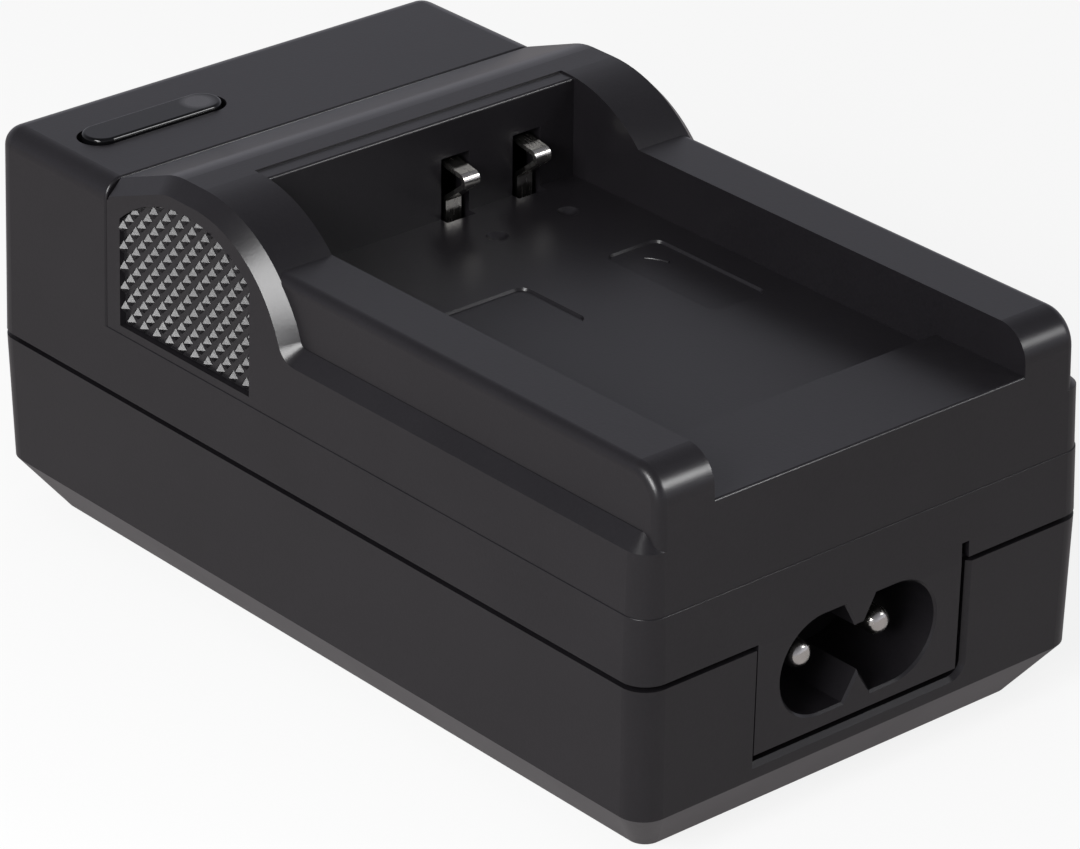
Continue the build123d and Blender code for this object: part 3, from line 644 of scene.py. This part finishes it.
@dataclass(frozen=True)
class GripPads:
    """The knurled pads in the ears, each a plate with a staggered field of blunt pyramids.

    Sizes are in millimetres, seen on the right pad from its lower rear corner.

    Attributes:
        grip: Finish of the pads: glossier than the housing plastic, and drawn lighter in colour as a painted
            sheen.
        columns: Columns of pyramids, an even number.
        rows: Pyramids in a column.
        column: Pitch of the columns.
        row: Pitch in a column.
        half: Half a pyramid's diagonal.
        height: A pyramid's height.
        tip: Half the diagonal of its blunt tip.
        sink: How far a pyramid goes into the plate.
        arch: Radius of the pad's arched top.
        arch_from_rear: How far the arch's middle lies before the pad's rear edge.
        arch_facets: Facets round the arch's full circle.
        spare: How far the drum that cuts the arch reaches past the plate.
        trim: Thickness of what trims the pyramids, in plates.
    """

    grip: Material
    columns: int = 22
    rows: int = 7
    column: float = 0.875
    row: float = 1.86
    half: float = 0.58
    height: float = 0.46
    tip: float = 0.06
    sink: float = 0.04
    arch: float = 13.15
    arch_from_rear: float = 8.8
    arch_facets: int = 160
    spare: float = 2.0
    trim: float = 6.0

    def tree(self) -> bpy.types.GeometryNodeTree:
        """Build the tree of one pad.

        Returns:
            The tree, with its sizes as named inputs in millimetres.
        """
        floats, whole = "NodeSocketFloat", "NodeSocketInt"
        recipe = Recipe.start("knurled_pad", {
            "Columns": whole, "Rows": whole, "Column Pitch": floats, "Row Pitch": floats,
            "Stud Half": floats, "Stud Height": floats, "Stud Tip": floats, "Sink": floats, "Plate": floats,
            "Length": floats, "Height": floats, "Arch Radius": floats, "Arch Middle": floats})
        calc, given, place = recipe.wiring.calc, recipe.given, recipe.wiring.place
        facing = (QUARTER_TURN, 0.0, QUARTER_TURN)
        per_grid = calc("DIVIDE", given["Columns"], 2.0)
        reach = calc("MULTIPLY", calc("SUBTRACT", per_grid, 1.0), given["Column Pitch"])
        rise = calc("MULTIPLY", calc("SUBTRACT", given["Rows"], 1.0), given["Row Pitch"])
        grid = place("GeometryNodeMeshGrid", {
            "Size X": calc("MULTIPLY", reach, 2.0), "Size Y": rise, "Vertices X": per_grid,
            "Vertices Y": given["Rows"]}).outputs["Mesh"]
        base = calc("SUBTRACT", given["Plate"], given["Sink"])
        middle_z = calc("MULTIPLY_ADD", rise, 0.5, given["Stud Half"])
        half_row = calc("MULTIPLY", given["Row Pitch"], 0.5)
        raised = recipe.vector(base, calc("MULTIPLY", reach, -1.0), calc("ADD", middle_z, half_row))
        even = recipe.move(grid, raised, facing)
        step = recipe.vector(0.0, calc("MULTIPLY", given["Column Pitch"], -1.0),
                             calc("MULTIPLY", half_row, -1.0))
        lattice = recipe.join(even, recipe.move(even, step))
        stud = place("GeometryNodeMeshCone", {
            "Vertices": 4, "Radius Top": given["Stud Tip"],
            "Radius Bottom": calc("ADD", given["Stud Half"], given["Sink"]),
            "Depth": calc("ADD", given["Stud Height"], given["Sink"])}).outputs["Mesh"]
        field = place("GeometryNodeInstanceOnPoints", {"Points": lattice, "Instance": stud,
                                                       "Rotation": facing}).outputs["Instances"]
        studs = place("GeometryNodeRealizeInstances", {"Geometry": field}).outputs["Geometry"]
        plate = self.slab(recipe, given["Plate"])
        trimmer = self.slab(recipe, calc("MULTIPLY", given["Plate"], self.trim))
        return recipe.end(recipe.join(plate, recipe.common(studs, trimmer)))

    def slab(self, recipe: Recipe, depth: Socket) -> Socket:
        """Cut the pad's arched outline from a slab.

        Args:
            recipe: The pad's tree.
            depth: How thick the slab is.

        Returns:
            The slab.
        """
        calc, given, place = recipe.wiring.calc, recipe.given, recipe.wiring.place
        half_depth = calc("MULTIPLY", depth, 0.5)
        block = place("GeometryNodeMeshCube", {
            "Size": recipe.vector(depth, given["Length"], given["Height"])}).outputs["Mesh"]
        block = recipe.move(block, recipe.vector(half_depth, calc("MULTIPLY", given["Length"], -0.5),
                                                 calc("MULTIPLY", given["Height"], 0.5)))
        drum = place("GeometryNodeMeshCylinder", {
            "Vertices": self.arch_facets, "Radius": given["Arch Radius"],
            "Depth": calc("ADD", depth, self.spare)}).outputs["Mesh"]
        middle_z = calc("SUBTRACT", given["Height"], given["Arch Radius"])
        middle = recipe.vector(half_depth, given["Arch Middle"], middle_z)
        return recipe.common(block, recipe.move(drum, middle, (0.0, QUARTER_TURN, 0.0)))

    def build(self) -> None:
        """Make both pads in place of the plain ones."""
        low, high = (Vector(corner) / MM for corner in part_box("grip_pad_right"))
        tree = self.tree()
        values = {
            "Columns": self.columns, "Rows": self.rows, "Column Pitch": self.column, "Row Pitch": self.row,
            "Stud Half": self.half, "Stud Height": self.height, "Stud Tip": self.tip, "Sink": self.sink,
            "Plate": high.x - low.x - self.height, "Length": high.y - low.y, "Height": high.z - low.z,
            "Arch Radius": self.arch, "Arch Middle": -self.arch_from_rear, "Finish": self.grip}
        corner = Matrix.Translation((low.x, high.y, low.z))
        for side in Side:
            node = f"grip_pad_{side.word}"
            mirror = Matrix.Diagonal((side.value, 1.0, 1.0, 1.0))
            piece = grown(tree, values, f"knurled_pad_{side.word}", Matrix.Scale(MM, 4) @ mirror @ corner)
            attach(piece, CHARGER_BODY)
            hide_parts(node)
            LOG.info("built %s with %d faces", piece.name, len(piece.data.polygons))


@dataclass(frozen=True)
class FloorTick:
    """The small raised stroke in the bay floor's right-hand panel. Sizes are in millimetres.

    Attributes:
        housing: Its finish.
        begin: Its rear end.
        bend: The point that bends it.
        end: Its front end.
        half: Half its width.
        steps: Steps along it.
        sides: Sides of its round section.
    """

    housing: Material
    begin: Point = (10.45, -3.3, 29.47)
    bend: Point = (11.15, -4.1, 29.47)
    end: Point = (11.4, -5.3, 29.47)
    half: float = 0.14
    steps: int = 12
    sides: int = 10

    def tree(self) -> bpy.types.GeometryNodeTree:
        """Build the tree of a raised line along a bent path.

        Returns:
            The tree, with its points and half its width as named inputs in millimetres.
        """
        points = {name: "NodeSocketVector" for name in ("Begin", "Bend", "End")}
        recipe = Recipe.start("raised_line", {**points, "Half Width": "NodeSocketFloat"})
        given, place = recipe.given, recipe.wiring.place
        path = place("GeometryNodeCurveQuadraticBezier", {
            "Resolution": self.steps, "Start": given["Begin"], "Middle": given["Bend"], "End": given["End"]})
        ring = place("GeometryNodeCurvePrimitiveCircle", {
            "Resolution": self.sides, "Radius": given["Half Width"]})
        line = place("GeometryNodeCurveToMesh", {
            "Curve": path.outputs["Curve"], "Profile Curve": ring.outputs["Curve"], "Fill Caps": True})
        return recipe.end(line.outputs["Mesh"])

    def build(self) -> None:
        """Make the stroke."""
        values = {"Begin": self.begin, "Bend": self.bend, "End": self.end, "Half Width": self.half,
                  "Finish": self.housing}
        piece = grown(self.tree(), values, "floor_tick", Matrix.Scale(MM, 4))
        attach(piece, CHARGER_BODY)
        LOG.info("built %s", piece.name)


@dataclass(frozen=True)
class Indicator:
    """The indicator on the head.

    Attributes:
        lens: Finish of the lens.
        lamp: Finish of the lamp under it.
    """

    lens: Material
    lamp: Material

    def build(self, frame: dict) -> None:
        """Dress the lens and its lamp.

        Args:
            frame: The loaded frame.
        """
        dress(frame, "indicator_lens", self.lens)
        dress(frame, "status_led", self.lamp)


@dataclass(frozen=True)
class Terminals:
    """The inlet's pins, the spring contacts and their leads.

    Attributes:
        plate: Finish of the pins and the contacts.
        sleeve: Finish of the leads.
    """

    plate: Material
    sleeve: Material

    def build(self, frame: dict) -> None:
        """Dress the metal and the leads on both sides.

        Args:
            frame: The loaded frame.
        """
        for side in Side:
            dress(frame, f"inlet_pin_{side.word}", self.plate)
            dress(frame, f"contact_spring_{side.word}", self.plate)
            dress(frame, f"contact_lead_{side.word}", self.sleeve)


@dataclass(frozen=True)
class PowerBoard:
    """The circuit board and what it carries.

    Attributes:
        finishes: Each piece's finish, by node.
    """

    finishes: dict[str, Material]

    def build(self, frame: dict) -> None:
        """Dress the board's pieces.

        Args:
            frame: The loaded frame.
        """
        for node, material in self.finishes.items():
            dress(frame, node, material)


def power_board(groups: Groups) -> PowerBoard:
    """Choose the finishes of the board and its pieces.

    Args:
        groups: The shared shader effects.

    Returns:
        The board, ready to be dressed.
    """
    coats = (
        (Moulded("board_laminate", (0.012, 0.060, 0.022), (0.020, 0.085, 0.032), (0.30, 0.42)),
         ("circuit_board",)),
        (Moulded("ferrite", (0.030, 0.030, 0.032), (0.050, 0.050, 0.052), (0.55, 0.70)),
         ("transformer_core", "line_choke")),
        (Moulded("bobbin_plastic", (0.050, 0.048, 0.045), (0.070, 0.068, 0.064), (0.40, 0.50)),
         ("transformer_bobbin",)),
        (Moulded("winding_tape", (0.52, 0.38, 0.05), (0.60, 0.46, 0.08), (0.25, 0.38)),
         ("transformer_winding",)),
        (Moulded("capacitor_sleeve", (0.012, 0.013, 0.022), (0.018, 0.020, 0.032), (0.16, 0.26)),
         ("mains_capacitor", "output_capacitor")),
        (Moulded("chip_resin", (0.016, 0.016, 0.017), (0.026, 0.026, 0.027), (0.45, 0.60)),
         ("bridge_rectifier", "switching_chip", "optocoupler", "charge_control_chip", "output_diode",
          "board_resistors")),
        (Moulded("fuse_glass", (0.50, 0.50, 0.46), (0.58, 0.58, 0.54), (0.06, 0.12)),
         ("mains_fuse",)),
        (Moulded("disc_coating", (0.020, 0.060, 0.240), (0.030, 0.085, 0.300), (0.14, 0.24)),
         ("safety_capacitor",)),
    )
    finishes = {}
    for coat, nodes in coats:
        finishes.update(dict.fromkeys(nodes, coat.build(groups)))
    return PowerBoard(finishes)


@dataclass(frozen=True)
class Softbox:
    """One rectangular soft light.

    Attributes:
        name: The light's name.
        place: Where it hangs.
        aim: The point it faces.
        size: Length and width of its face.
        radiance: How bright its face is from straight ahead.
        spread: How wide the grid in front of it lets the light fan out, in degrees.
        along: The direction of its length.
    """

    name: str
    place: Point
    aim: Point
    size: Span
    radiance: float
    spread: float = 120.0
    along: Point = (1.0, 0.0, 0.0)

    def build(self) -> None:
        """Hang the light."""
        data = bpy.data.lights.new(self.name, "AREA")
        data.shape = "RECTANGLE"
        data.size, data.size_y = self.size
        data.spread = math.radians(self.spread)
        fan = math.tan(data.spread / 2)
        gathered = fan / (fan - data.spread / 2)
        data.energy = LAMP_ENERGY * self.radiance * self.size[0] * self.size[1] / gathered
        back = (Vector(self.place) - Vector(self.aim)).normalized()
        across = back.cross(Vector(self.along)).normalized()
        axes = Matrix((across.cross(back), across, back)).transposed()
        light = bpy.data.objects.new(self.name, data)
        light.matrix_world = Matrix.Translation(self.place) @ axes.to_4x4()
        bpy.context.scene.collection.objects.link(light)


@dataclass(frozen=True)
class Studio:
    """Floor, light and camera.

    Attributes:
        azimuth: Turn of the view from straight ahead, in degrees.
        elevation: Height of the view above the floor, in degrees.
        roll: Tilt of the picture, in degrees.
        eye: The camera's place.
        focal_px: Focal length in pixels of the picture.
        picture_px: Width of the picture in pixels.
        sensor_mm: Width of the camera's sensor.
        near: The nearest distance that the camera sees.
        floor_size: Length of the floor's side.
        floor_colour: Colour of the floor.
        floor_white: How much of the floor the camera sees as plain white.
        floor_tint: Colour of the floor's own glow.
        glow: How bright reflections see the floor's own glow and the horizon.
        catch: How much of the floor's real light and shade reflections see.
        sky: How bright reflections see the sweep half-way up and overhead.
        heights: Where the horizon, half-way up and overhead lie, from 0 to 1.
        tint: The sweep's colour in reflections.
        lean: How much brighter the sweep is to the right, and darker to the left.
        ambient: How much the sweep lights the charger.
        lights: The soft lights.
    """

    azimuth: float = -40.70
    elevation: float = 26.60
    roll: float = 0.48
    eye: Point = (-0.2680, -0.3137, 0.2225)
    focal_px: float = 5461.9
    picture_px: float = 1080.0
    sensor_mm: float = 36.0
    near: float = 0.01
    floor_size: float = 6.0
    floor_colour: Colour = (0.85, 0.85, 0.85)
    floor_white: float = 0.84
    floor_tint: Colour = (1.03, 0.96, 0.99)
    glow: Span = (0.325, 0.54)
    catch: float = 0.125
    sky: Span = (0.305, 0.12)
    heights: Point = (0.02, 0.45, 0.85)
    tint: Colour = (0.96, 0.96, 1.07)
    lean: float = 0.35
    ambient: float = 0.45
    lights: tuple[Softbox, ...] = (
        Softbox("left_strip", (-0.308, -0.112, 0.214), (-0.02, 0.005, 0.033),
                size=(0.255, 0.115), radiance=14.5, along=(-0.111, -0.770, -0.628)),
        Softbox("front_left_strip", (0.027, -0.0955, 0.0695), (-0.0195, -0.0415, 0.033),
                size=(0.024, 0.024), radiance=19.0, spread=27.0),
        Softbox("front_right_strip", (0.066, -0.0955, 0.0695), (0.0195, -0.0415, 0.033),
                size=(0.024, 0.024), radiance=10.5, spread=27.0),
        Softbox("lens_strip", (0.034, -0.0195, 0.0745), (-0.0129, 0.0325, 0.0364),
                size=(0.030, 0.026), radiance=15.0, spread=27.0),
        Softbox("contact_strip", (0.054, -0.044, 0.074), (0.0074, 0.008, 0.035),
                size=(0.034, 0.034), radiance=2.2, spread=22.0),
    )

    def camera(self) -> None:
        """Place the camera at the photo's angle."""
        turn, rise, tilt = (math.radians(angle) for angle in (self.azimuth, self.elevation, self.roll))
        back = Vector((math.sin(turn) * math.cos(rise), -math.cos(turn) * math.cos(rise), math.sin(rise)))
        level = Vector((math.cos(turn), math.sin(turn), 0.0))
        upright = back.cross(level)
        right = math.cos(tilt) * level + math.sin(tilt) * upright
        up = math.cos(tilt) * upright - math.sin(tilt) * level
        data = bpy.data.cameras.new("camera")
        data.sensor_fit = "HORIZONTAL"
        data.sensor_width = self.sensor_mm
        data.lens = self.focal_px / self.picture_px * self.sensor_mm
        data.clip_start = self.near
        camera = bpy.data.objects.new("camera", data)
        camera.matrix_world = Matrix.Translation(self.eye) @ Matrix((right, up, back)).transposed().to_4x4()
        bpy.context.scene.collection.objects.link(camera)
        bpy.context.scene.camera = camera

    def floor(self) -> None:
        """Lay the pale floor, white to the camera but with the charger's shadow on it."""
        half = self.floor_size / 2
        corners = [(-half, -half, 0), (half, -half, 0), (half, half, 0), (-half, half, 0)]
        mesh = bpy.data.meshes.new("floor")
        mesh.from_pydata(corners, [], [(0, 1, 2, 3)])
        material = bpy.data.materials.new("floor_white")
        material.use_nodes = True
        wiring = Wiring(material.node_tree)
        material.node_tree.nodes.clear()
        matte = wiring.place("ShaderNodeBsdfDiffuse", {"Color": (*self.floor_colour, 1.0)}).outputs[0]
        white = wiring.place("ShaderNodeEmission", {"Color": WHITE, "Strength": 1.0}).outputs[0]
        glow = {"Color": (*self.floor_tint, 1.0), "Strength": self.glow[0]}
        pale = wiring.place("ShaderNodeEmission", glow).outputs[0]
        shown = wiring.mix(self.floor_white, matte, white)
        mirrored = wiring.mix(self.catch, pale, matte)
        final = wiring.by_ray(shown, mirrored, matte)
        wiring.place("ShaderNodeOutputMaterial", {"Surface": final})
        mesh.materials.append(material)
        floor = bpy.data.objects.new("floor", mesh)
        bpy.context.scene.collection.objects.link(floor)

    def world(self) -> None:
        """Surround the charger with a white sweep that darkens overhead in reflections."""
        world = bpy.data.worlds.new("studio")
        world.use_nodes = True
        bpy.context.scene.world = world
        wiring = Wiring(world.node_tree)
        world.node_tree.nodes.clear()
        way = wiring.add("ShaderNodeTexCoord").outputs["Generated"]
        axes = wiring.place("ShaderNodeSeparateXYZ", {"Vector": way}).outputs
        level = wiring.calc("MULTIPLY_ADD", axes["X"], self.lean, 1.0)
        ramp = wiring.place("ShaderNodeValToRGB", {"Fac": axes["Z"]})
        stops = ramp.color_ramp.elements
        stops.new(self.heights[1])
        for stop, height, bright in zip(stops, self.heights, (self.glow[1], *self.sky)):
            stop.position = height
            stop.color = (*(bright * part for part in self.tint), 1.0)
        sweep = {"Color": ramp.outputs["Color"], "Strength": level}
        mirrored = wiring.place("ShaderNodeBackground", sweep).outputs[0]
        ambient = wiring.place("ShaderNodeBackground", {"Color": WHITE, "Strength": self.ambient}).outputs[0]
        white = wiring.place("ShaderNodeBackground", {"Color": WHITE, "Strength": 1.0}).outputs[0]
        final = wiring.by_ray(white, mirrored, ambient)
        wiring.place("ShaderNodeOutputWorld", {"Surface": final})

    def build(self) -> None:
        """Set up the floor, the light and the camera."""
        bpy.context.scene.view_settings.view_transform = "Standard"
        self.floor()
        self.world()
        for light in self.lights:
            light.build()
        self.camera()
        LOG.info("studio ready")


def main() -> None:
    """Load the frame, dress every piece and set up the studio."""
    logging.basicConfig(level=logging.INFO, format="%(message)s")
    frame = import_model()
    groups = Groups.build()
    housing, grip, sleeve, resin, smoked, zinc, nickel = (finish.build(groups) for finish in (
        Moulded("housing_plastic", dark=(0.0070, 0.0063, 0.0076), light=(0.0120, 0.0109, 0.0128)),
        # The pads' finish is the housing plastic made glossier, and lighter in colour as a painted sheen on
        # the knurled pads.
        Moulded("grip_plastic", dark=(0.0090, 0.0085, 0.0095), light=(0.0150, 0.0142, 0.0158),
                satin=(0.22, 0.30)),
        Moulded("lead_sleeve", dark=(0.22, 0.010, 0.010), light=(0.30, 0.016, 0.014), satin=(0.30, 0.42)),
        Moulded("led_resin", dark=(0.62, 0.62, 0.58), light=(0.70, 0.70, 0.66), satin=(0.05, 0.12)),
        Smoked("lens_plastic", dark=(0.0030, 0.0030, 0.0034), pale=(0.052, 0.051, 0.056),
               guide=(-0.0080, 0.0342, 0.0364), reach=0.0017),
        Plated("zinc_steel", bright=(0.62, 0.62, 0.60), dull=(0.42, 0.42, 0.41), gloss=(0.25, 0.40)),
        Plated("nickel_plate", bright=(0.80, 0.78, 0.74), dull=(0.62, 0.60, 0.56)),
    ))
    Shells(housing, zinc).build(frame)
    GripPads(grip).build()
    FloorTick(housing).build()
    Indicator(smoked, resin).build(frame)
    Terminals(nickel, sleeve).build(frame)
    power_board(groups).build(frame)
    Studio().build()


if __name__ == "__main__":
    main()
